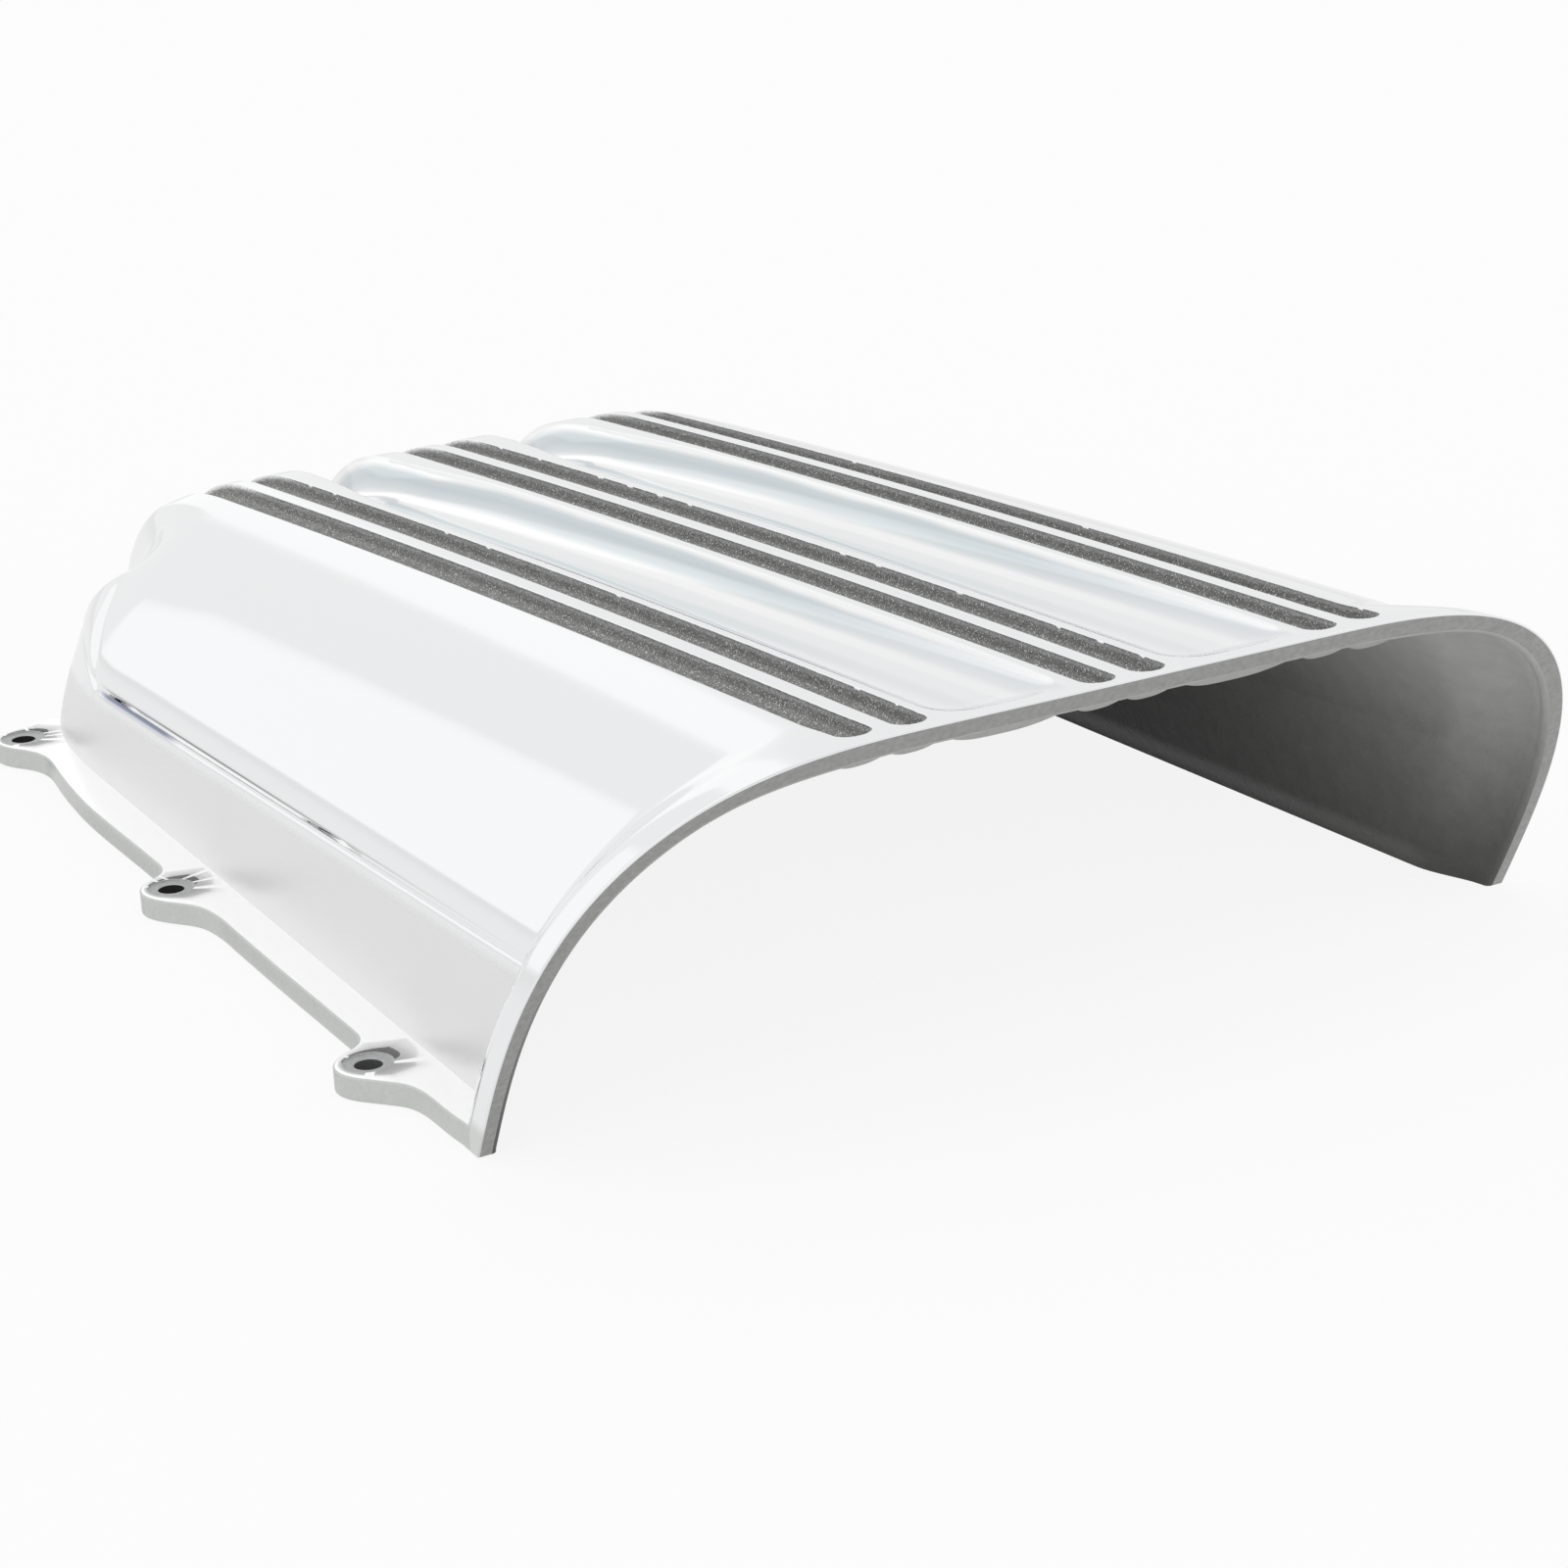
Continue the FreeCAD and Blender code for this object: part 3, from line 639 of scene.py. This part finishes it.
class G:
    # small helper to build node graphs
    def __init__(self, nt):
        self.nt = nt

    def n(self, kind, **kw):
        node = self.nt.nodes.new(kind)
        ins = kw.pop("ins", {})
        for k, v in kw.items():
            setattr(node, k, v)
        for k, v in ins.items():
            self.set(node, k, v)
        return node

    def set(self, node, k, v):
        sock = node.inputs[k]
        if hasattr(v, "is_output") or hasattr(v, "links"):
            self.nt.links.new(v, sock)
        else:
            sock.default_value = v

    def math(self, op, a, b=None, clamp=False):
        node = self.nt.nodes.new("ShaderNodeMath")
        node.operation = op
        node.use_clamp = clamp
        self.set(node, 0, a)
        if b is not None:
            self.set(node, 1, b)
        return node.outputs[0]

    def noise(self, vec, scale, detail=3.0, rough=0.55, dist=0.0):
        node = self.n("ShaderNodeTexNoise", ins={"Vector": vec, "Scale": scale, "Detail": detail, "Roughness": rough, "Distortion": dist})
        return node.outputs["Fac"]

    def ramp(self, fac, stops):
        node = self.nt.nodes.new("ShaderNodeMapRange")
        node.interpolation_type = "SMOOTHSTEP"
        (a, va), (b, vb) = stops
        self.set(node, 0, fac)
        node.inputs[1].default_value = a
        node.inputs[2].default_value = b
        node.inputs[3].default_value = va
        node.inputs[4].default_value = vb
        return node.outputs[0]

    def mix(self, fac, a, b):
        node = self.nt.nodes.new("ShaderNodeMix")
        node.data_type = "RGBA"
        self.set(node, 0, fac)
        self.set(node, 6, a)
        self.set(node, 7, b)
        return node.outputs[2]

    def bump(self, height, strength, dist, normal=None):
        node = self.n("ShaderNodeBump", ins={"Height": height, "Strength": strength, "Distance": dist})
        if normal is not None:
            self.nt.links.new(normal, node.inputs["Normal"])
        return node.outputs[0]


def metal(name, color, rough, extra=None):
    m, nt = new_mat(name)
    g = G(nt)
    out = g.n("ShaderNodeOutputMaterial")
    bs = g.n("ShaderNodeBsdfPrincipled")
    nt.links.new(bs.outputs[0], out.inputs[0])
    bs.inputs["Metallic"].default_value = 1.0
    bs.inputs["Base Color"].default_value = (*color, 1)
    bs.inputs["Roughness"].default_value = rough
    tc = g.n("ShaderNodeTexCoord").outputs["Object"]
    if extra:
        extra(g, bs, tc)
    return m


def polish_body_and_painted_reflections(g, bs, tc):
    # polished body, with painted reflections in the channels and along the crease
    dep = g.n("ShaderNodeAttribute", attribute_name="groove_inside").outputs["Fac"]
    # cast metal starts just inside each groove's edge, with a ragged line
    rag = g.math("MULTIPLY", g.math("SUBTRACT", g.noise(tc, 1600, 2), 0.5), 0.22)
    edge_ = g.math("ADD", dep, rag)
    cast = g.ramp(edge_, ((-0.02, 0.0), (0.16, 1.0)))
    pos = g.n("ShaderNodeSeparateXYZ", ins={0: tc}).outputs
    fwd = g.math("ADD", g.math("MULTIPLY", g.math("SUBTRACT", pos[1], YS), CS), g.math("MULTIPLY", pos[2], SN))
    rim = g.ramp(fwd, ((0.0062, 1.0), (0.009, 0.0)))
    low = g.math("MULTIPLY", g.ramp(pos[2], ((0.0058, 1.0), (0.0105, 0.0))), rim)
    # skirt below the crease: softer polish
    over = g.math("SUBTRACT", pos[2], g.math("SUBTRACT", 0.04526, g.math("MULTIPLY", g.math("SUBTRACT", pos[1], YS), 0.048)))
    skirt = g.math("MULTIPLY", g.ramp(over, ((-0.0055, 1.0), (-0.0015, 0.0))), g.ramp(fwd, ((0.006, 0.0), (0.022, 1.0))))
    # painted reflection: a dark blue line along the crease towards the rear, painted into the base colour
    navy_painted_reflection = g.math("EXPONENT", g.math("MULTIPLY", g.math("POWER", g.math("DIVIDE", g.math("ADD", over, 0.0003), 0.0010), 2.0), -1.0))
    navy_painted_reflection = g.math("MULTIPLY", navy_painted_reflection, g.math("MULTIPLY", g.ramp(pos[1], ((0.066, 0.0), (0.082, 0.9))), g.ramp(pos[1], ((0.128, 1.0), (0.140, 0.0)))))
    fine = g.noise(tc, 1500, 4, 0.6)
    smear = g.noise(tc, 38, 3, 0.5)
    eoff = g.math("SUBTRACT", g.math("ABSOLUTE", g.n("ShaderNodeAttribute", attribute_name="channel_off").outputs["Fac"]), 0.98)
    eoff = g.math("EXPONENT", g.math("MULTIPLY", g.math("POWER", g.math("DIVIDE", eoff, 0.10), 2.0), -1.0))
    eoff = g.math("MULTIPLY", eoff, g.ramp(pos[1], ((0.02, 1.0), (0.12, 0.3))))
    rough_pol = g.math("ADD", g.math("ADD", g.math("MULTIPLY", smear, 0.03), g.math("ADD", g.math("MULTIPLY", eoff, 0.28), 0.012)), g.math("ADD", g.math("MULTIPLY", low, 0.16), g.math("MULTIPLY", skirt, 0.30)))
    grain = g.noise(tc, 1150, 2, 0.6)
    grain2 = g.noise(tc, 420, 4, 0.65)
    rough_cast = g.math("ADD", g.math("MULTIPLY", grain, 0.25), 0.36)
    bs_r = g.n("ShaderNodeMix", data_type="FLOAT")
    g.set(bs_r, 0, cast)
    g.set(bs_r, 2, rough_pol)
    g.set(bs_r, 3, rough_cast)
    g.nt.links.new(bs_r.outputs[0], bs.inputs["Roughness"])
    g.nt.links.new(g.math("SUBTRACT", g.math("SUBTRACT", 1.0, g.math("MULTIPLY", cast, 0.75)), g.math("MULTIPLY", skirt, 0.55)), bs.inputs["Metallic"])
    spark = g.ramp(g.noise(tc, 2200, 2, 0.5), ((0.58, 0.0), (0.66, 1.0)))
    cast_col = g.mix(spark, g.mix(grain2, (0.15, 0.152, 0.148, 1), (0.33, 0.333, 0.325, 1)), (0.95, 0.95, 0.94, 1))
    # painted reflections: the bands of studio light and shade the channel would reflect, painted into its colour band
    # by band across its width
    off = g.n("ShaderNodeAttribute", attribute_name="channel_off").outputs["Fac"]
    wob = g.math("MULTIPLY", g.math("SUBTRACT", g.noise(tc, 14, 2), 0.5), 0.14)
    cr = g.nt.nodes.new("ShaderNodeValToRGB")
    g.set(cr, 0, g.math("ADD", g.math("MULTIPLY", g.math("ADD", off, wob), 0.5), 0.5))
    stops = [(0.0, (0.90, 0.905, 0.915)), (0.20, (0.86, 0.87, 0.88)), (0.30, (0.70, 0.76, 0.77)), (0.37, (0.72, 0.78, 0.79)), (0.43, (0.86, 0.875, 0.88)), (0.56, (0.88, 0.89, 0.90)),
             (0.60, (0.98, 0.98, 0.98)), (0.68, (0.98, 0.98, 0.98)), (0.75, (0.72, 0.765, 0.785)), (0.86, (0.60, 0.655, 0.685)), (0.915, (0.66, 0.71, 0.735)), (0.955, (0.99, 0.99, 0.99)), (1.0, (0.99, 0.99, 0.99))]
    e = cr.color_ramp.elements
    e[0].position, e[0].color = stops[0][0], (*stops[0][1], 1)
    e[1].position, e[1].color = stops[-1][0], (*stops[-1][1], 1)
    for p_, c_ in stops[1:-1]:
        n_ = e.new(p_)
        n_.color = (*c_, 1)
    chan_reflection_mask = g.n("ShaderNodeAttribute", attribute_name="channel").outputs["Fac"]
    chan_reflection_fade = g.ramp(pos[1], ((-0.205, 0.45), (-0.08, 1.0)))
    pol_and_painted_reflections = g.mix(g.math("MULTIPLY", chan_reflection_mask, chan_reflection_fade), (0.90, 0.905, 0.915, 1), cr.outputs[0])
    pol_and_painted_reflections = g.mix(skirt, pol_and_painted_reflections, (0.81, 0.815, 0.81, 1))
    pol_and_painted_reflections = g.mix(navy_painted_reflection, pol_and_painted_reflections, (0.10, 0.14, 0.26, 1))
    pol_and_painted_reflections = g.mix(g.math("MULTIPLY", low, 0.85), pol_and_painted_reflections, (0.66, 0.675, 0.66, 1))
    col = g.mix(cast, pol_and_painted_reflections, cast_col)
    g.nt.links.new(col, bs.inputs["Base Color"])
    b1 = g.bump(fine, 0.02, 0.0002)
    h = g.math("ADD", g.math("MULTIPLY", grain, 0.6), g.math("MULTIPLY", grain2, 0.5))
    b2 = g.n("ShaderNodeBump", ins={"Height": h, "Strength": 1.0, "Distance": 0.0005})
    mixn = g.n("ShaderNodeMix", data_type="VECTOR")
    g.set(mixn, 0, cast)
    g.nt.links.new(b1, mixn.inputs[4])
    g.nt.links.new(b2.outputs[0], mixn.inputs[5])
    g.nt.links.new(mixn.outputs[1], bs.inputs["Normal"])


def sanded(g, bs, tc):
    sc = g.n("ShaderNodeMapping", ins={"Vector": tc, "Scale": (30.0, 900.0, 900.0)})
    s1 = g.noise(sc.outputs[0], 1.0, 5, 0.65)
    n2 = g.noise(tc, 700, 3)
    g.nt.links.new(g.math("ADD", g.math("MULTIPLY", s1, 0.25), 0.3), bs.inputs["Roughness"])
    g.nt.links.new(g.mix(n2, (0.27, 0.272, 0.265, 1), (0.47, 0.473, 0.465, 1)), bs.inputs["Base Color"])
    g.nt.links.new(g.bump(s1, 0.35, 0.0002), bs.inputs["Normal"])


def cast_in_and_painted_shade(g, bs, tc):
    n1 = g.noise(tc, 900, 3, 0.6)
    n2 = g.noise(tc, 160, 5, 0.6)
    g.nt.links.new(g.math("ADD", g.math("MULTIPLY", n1, 0.2), 0.42), bs.inputs["Roughness"])
    bs.inputs["Metallic"].default_value = 0.1
    bs.inputs["Specular IOR Level"].default_value = 0.15
    sp = g.n("ShaderNodeSeparateXYZ", ins={0: tc})
    fwd = g.math("ADD", g.math("MULTIPLY", g.math("SUBTRACT", sp.outputs[1], YS), CS), g.math("MULTIPLY", sp.outputs[2], SN))
    # painted shade: the inside darkens to near black deeper in; near the mouth it is also darker towards the bottom
    deep_painted_shade = g.ramp(fwd, ((0.01, 0.0), (0.16, 1.0)))
    lowz = g.ramp(sp.outputs[2], ((0.0, 1.0), (0.085, 0.0)))
    near_ = g.mix(lowz, g.mix(n2, (0.42, 0.422, 0.41, 1), (0.56, 0.563, 0.55, 1)), g.mix(n2, (0.11, 0.112, 0.107, 1), (0.17, 0.173, 0.167, 1)))
    far_painted_shade = g.mix(n2, (0.02, 0.021, 0.02, 1), (0.045, 0.046, 0.044, 1))
    g.nt.links.new(g.mix(deep_painted_shade, near_, far_painted_shade), bs.inputs["Base Color"])
    h = g.math("ADD", g.math("MULTIPLY", n1, 0.5), g.math("MULTIPLY", n2, 0.8))
    g.nt.links.new(g.bump(h, 0.6, 0.0006), bs.inputs["Normal"])


def spot(g, bs, tc):
    n1 = g.noise(tc, 1200, 3, 0.6)
    g.nt.links.new(g.math("ADD", g.math("MULTIPLY", n1, 0.25), 0.28), bs.inputs["Roughness"])
    g.nt.links.new(g.mix(n1, (0.35, 0.355, 0.36, 1), (0.6, 0.605, 0.61, 1)), bs.inputs["Base Color"])
    g.nt.links.new(g.bump(n1, 0.4, 0.0003), bs.inputs["Normal"])


def top_polish_and_painted_glow(g, bs, tc):
    n1 = g.noise(tc, 60, 3, 0.6)
    g.nt.links.new(g.math("ADD", g.math("MULTIPLY", n1, 0.08), 0.16), bs.inputs["Roughness"])
    bs.inputs["Metallic"].default_value = 0.4
    # painted light: the ledge top glows faintly white, so it reads brighter than its lighting makes it
    bs.inputs["Emission Color"].default_value = (1, 1, 1, 1)
    bs.inputs["Emission Strength"].default_value = 0.12
    g.nt.links.new(g.bump(g.noise(tc, 900, 3), 0.04, 0.0002), bs.inputs["Normal"])


def side_satin(g, bs, tc):
    n1 = g.noise(tc, 700, 4, 0.6)
    g.nt.links.new(g.math("ADD", g.math("MULTIPLY", n1, 0.15), 0.22), bs.inputs["Roughness"])
    g.nt.links.new(g.mix(n1, (0.52, 0.535, 0.52, 1), (0.66, 0.675, 0.66, 1)), bs.inputs["Base Color"])
    g.nt.links.new(g.bump(n1, 0.25, 0.0003), bs.inputs["Normal"])


mats = [
    metal("polished_cast_and_painted_reflections", (0.9, 0.905, 0.915), 0.06, polish_body_and_painted_reflections),
    metal("sanded_face", (0.5, 0.5, 0.52), 0.4, sanded),
    metal("raw_cast_and_painted_shade", (0.3, 0.3, 0.3), 0.5, cast_in_and_painted_shade),
    metal("spotface", (0.5, 0.5, 0.5), 0.4, spot),
    metal("ledge_top_painted_glow", (0.985, 0.985, 0.985), 0.1, top_polish_and_painted_glow),
    metal("ledge_side", (0.6, 0.6, 0.6), 0.3, side_satin),
    metal("base_face", (0.6, 0.6, 0.6), 0.35, side_satin),
]
for m in mats:
    mesh.materials.append(m)

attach(shell, "root")
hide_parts("scoop_shell")

# ------------------------------------------------------------------ stage
bpy.context.scene.view_settings.view_transform = "Standard"
FLOOR_Z = -0.0004
bpy.ops.mesh.primitive_plane_add(size=8, location=(0, 0, FLOOR_Z))
floor = bpy.context.object
floor.name = "floor"
fm, nt = new_mat("floor_white")
g = G(nt)
out = g.n("ShaderNodeOutputMaterial")
dif = g.n("ShaderNodeBsdfDiffuse", ins={"Color": (0.86, 0.86, 0.86, 1), "Roughness": 0.5})
emi = g.n("ShaderNodeEmission", ins={"Color": (1, 1, 1, 1), "Strength": 1.0})
lp = g.n("ShaderNodeLightPath")
k = g.math("MULTIPLY", lp.outputs["Is Camera Ray"], 0.88)
mx = g.n("ShaderNodeMixShader", ins={0: k, 1: dif.outputs[0], 2: emi.outputs[0]})
nt.links.new(mx.outputs[0], out.inputs[0])
floor.data.materials.append(fm)
floor.visible_glossy = False

world = bpy.data.worlds.new("studio")
bpy.context.scene.world = world
world.use_nodes = True
nt = world.node_tree
nt.nodes.clear()
g = G(nt)
wo = g.n("ShaderNodeOutputWorld")
tcw = g.n("ShaderNodeTexCoord").outputs["Generated"]
sep = g.n("ShaderNodeSeparateXYZ", ins={0: tcw})
DEG = 180.0 / math.pi
el = g.math("MULTIPLY", g.math("ARCSINE", sep.outputs[2]), DEG)
az = g.math("MULTIPLY", g.math("ARCTAN2", sep.outputs[0], sep.outputs[1]), DEG)   # 0 is +Y, positive towards +X


def curve(fac, stops, lo_, hi_):
    # piecewise smooth brightness by angle
    pos = g.math("DIVIDE", g.math("SUBTRACT", fac, lo_), hi_ - lo_)
    node = nt.nodes.new("ShaderNodeFloatCurve")
    c = node.mapping.curves[0]
    pts_ = [((a - lo_) / (hi_ - lo_), v) for a, v in stops]
    c.points[0].location = pts_[0]
    c.points[-1].location = pts_[-1]
    for p in pts_[1:-1]:
        c.points.new(*p)
    for p in c.points:
        p.handle_type = "AUTO_CLAMPED"
    node.mapping.update()
    node.inputs[0].default_value = 1.0
    nt.links.new(pos, node.inputs[1])
    return node.outputs[0]


f_az = curve(az, [(-180, .40), (-150, .42), (-120, .48), (-60, .50), (-13.4, .505), (-11.6, .452), (-7, .45), (8, .45), (10, .47), (12, .51), (19, .51),
                  (22, .45), (30, .44), (60, .44), (100, .48), (150, .42), (180, .40)], -180, 180)
f_el = curve(el, [(-90, .36), (-60, .40), (-35, .43), (-20, .44), (-14, .44), (-9, .435), (-4.5, .41), (-2.5, .5), (30, .5), (60, .5), (90, .5)], -90, 90)
patch = g.math("EXPONENT", g.math("MULTIPLY", g.math("ADD", g.math("POWER", g.math("DIVIDE", g.math("ADD", az, 15.0), 3.0), 2.0),
                                             g.math("POWER", g.math("DIVIDE", g.math("ADD", el, 20.0), 3.0), 2.0)), -1.0))
dark = g.math("SUBTRACT", 1.0, g.math("MULTIPLY", patch, 0.75))
up = g.ramp(el, ((-5.0, 0.0), (-2.0, 1.0)))
azm = g.n("ShaderNodeMix", data_type="FLOAT")
g.set(azm, 0, up)
g.set(azm, 2, 0.5)
g.set(azm, 3, f_az)
val = g.math("MULTIPLY", g.math("MULTIPLY", azm.outputs[0], f_el), 4.06)
val = g.math("MULTIPLY", val, dark)
lpw = g.n("ShaderNodeLightPath")
cam_mix = g.n("ShaderNodeMix", data_type="FLOAT")
g.set(cam_mix, 0, lpw.outputs["Is Camera Ray"])
g.set(cam_mix, 2, val)
g.set(cam_mix, 3, 1.0)
bg = g.n("ShaderNodeBackground", ins={"Color": (1, 1, 1, 1)})
nt.links.new(cam_mix.outputs[0], bg.inputs["Strength"])
nt.links.new(bg.outputs[0], wo.inputs[0])


# ------------------------------------------------------------------ camera
def rot(e, a, r):
    R = np.array([1.0, 0, 0])
    F = np.array([0, -math.sin(e), math.cos(e)])
    Uu = np.array([0, -math.cos(e), -math.sin(e)])
    X = math.cos(a) * R - math.sin(a) * F
    Y = math.sin(a) * R + math.cos(a) * F
    m_ = np.stack([X, Y, Uu], 1)
    c, s = math.cos(r), math.sin(r)
    return np.array([[c, -s, 0], [s, c, 0], [0, 0, 1]]) @ m_


MC = rot(math.radians(19.2646), math.radians(-28.7578), math.radians(-2.8777))
C = -MC.T @ np.array([0.39430139, 0.37579377, 7.16132823])
cam_data = bpy.data.cameras.new("camera")
cam = bpy.data.objects.new("camera", cam_data)
bpy.context.scene.collection.objects.link(cam)
cam_data.sensor_width = 36.0
cam_data.lens = 4425.08 * 36.0 / 1600.0
cam_data.clip_start = 0.05
cam_data.clip_end = 50
mw = Matrix.Identity(4)
for k in range(3):
    mw[k][0], mw[k][1], mw[k][2] = MC[0][k], -MC[1][k], -MC[2][k]
    mw[k][3] = C[k] * U + (YS if k == 1 else 0.0)
cam.matrix_world = mw
bpy.context.scene.camera = cam
